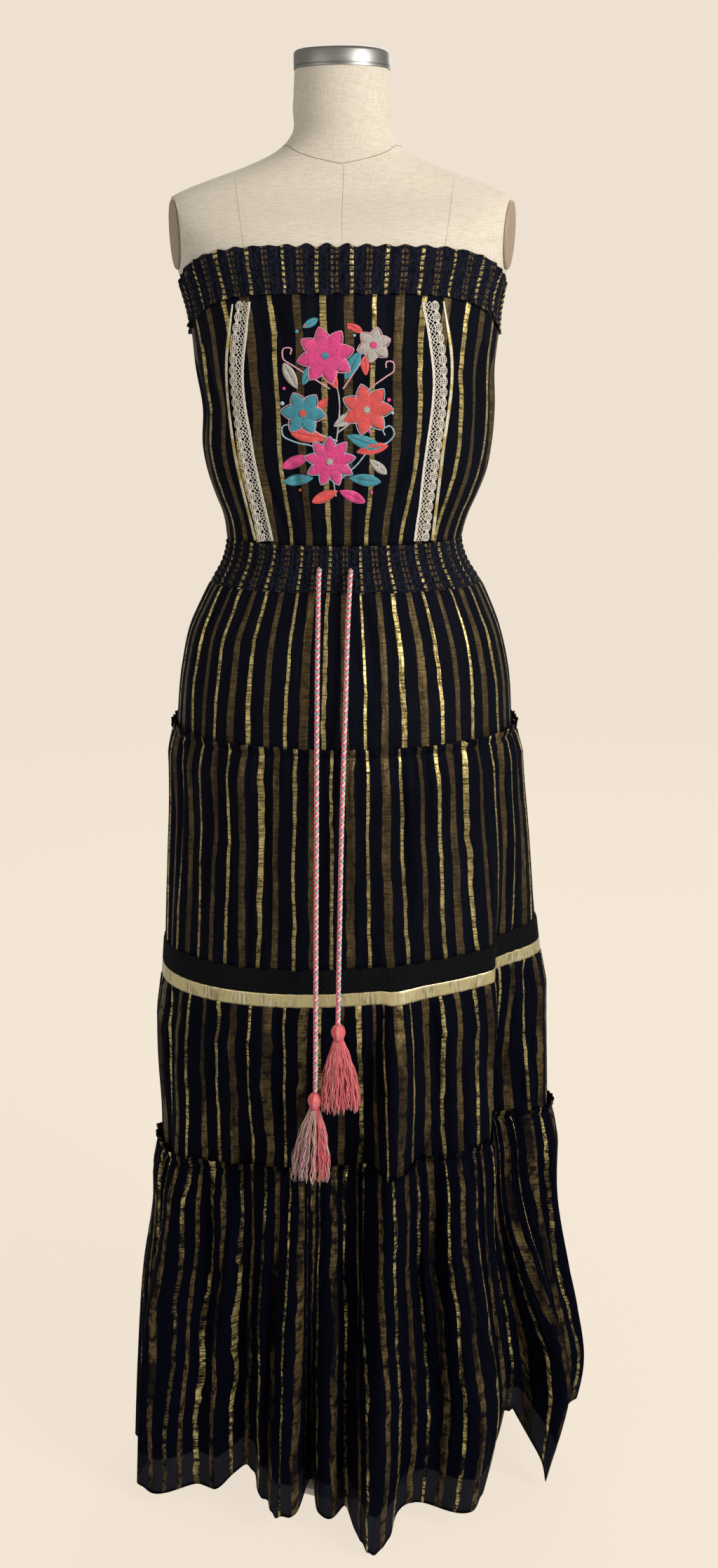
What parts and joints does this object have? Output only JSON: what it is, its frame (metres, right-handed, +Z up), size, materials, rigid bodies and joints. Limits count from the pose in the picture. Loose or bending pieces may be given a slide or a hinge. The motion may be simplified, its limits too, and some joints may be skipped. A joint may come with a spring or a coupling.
{
  "type": "tiered maxi dress on dress form",
  "caption": "Strapless tiered maxi dress with smocked bandeau and waist, lace trims and tasselled drawcords, standing on a limbless dress form.",
  "frame": {"origin": "centre of the stand's base on the floor, under the pole", "axes": "+Z up; the dress's front faces -Y; left in the names is -X, as seen from the front"},
  "size_m": [0.5219, 0.353, 1.6265],
  "materials": {
    "striped_cloth": "thin navy-black crinkled cloth with woven metallic gold stripes",
    "black_lace": "black crochet lace insertion",
    "gold_ribbon": "pale metallic gold ribbon with fine creases",
    "cream_lace": "cream crochet lace",
    "silver_braid": "silver-white flat braid",
    "cord": "braided coral and pale yarn",
    "linen": "natural linen stretched over the form",
    "plate": "brown cloth-covered plates over the arm cuts",
    "steel": "brushed steel"
  },
  "bodies": {
    "root": {"bandeau_front": "striped_cloth", "bandeau_back": "striped_cloth", "bodice_front": "striped_cloth", "bodice_back": "striped_cloth", "waist_front": "striped_cloth", "waist_back": "striped_cloth", "tier_1_front": "striped_cloth", "tier_1_back": "striped_cloth", "tier_2_front": "striped_cloth", "tier_2_back": "striped_cloth", "tier_3_front": "striped_cloth", "tier_3_back": "striped_cloth", "tier_4_front": "striped_cloth", "tier_4_back": "striped_cloth", "black_lace_front": "black_lace", "black_lace_back": "black_lace", "gold_band_front": "gold_ribbon", "gold_band_back": "gold_ribbon", "lace_left": "cream_lace", "braid_left": "silver_braid", "cord_left": "cord", "tassel_left": "cord", "armhole_plate_left": "plate", "lace_right": "cream_lace", "braid_right": "silver_braid", "cord_right": "cord", "tassel_right": "cord", "armhole_plate_right": "plate", "torso": "linen", "neck_cap": "steel", "pole": "steel", "base": "steel"}
  },
  "joints": []
}
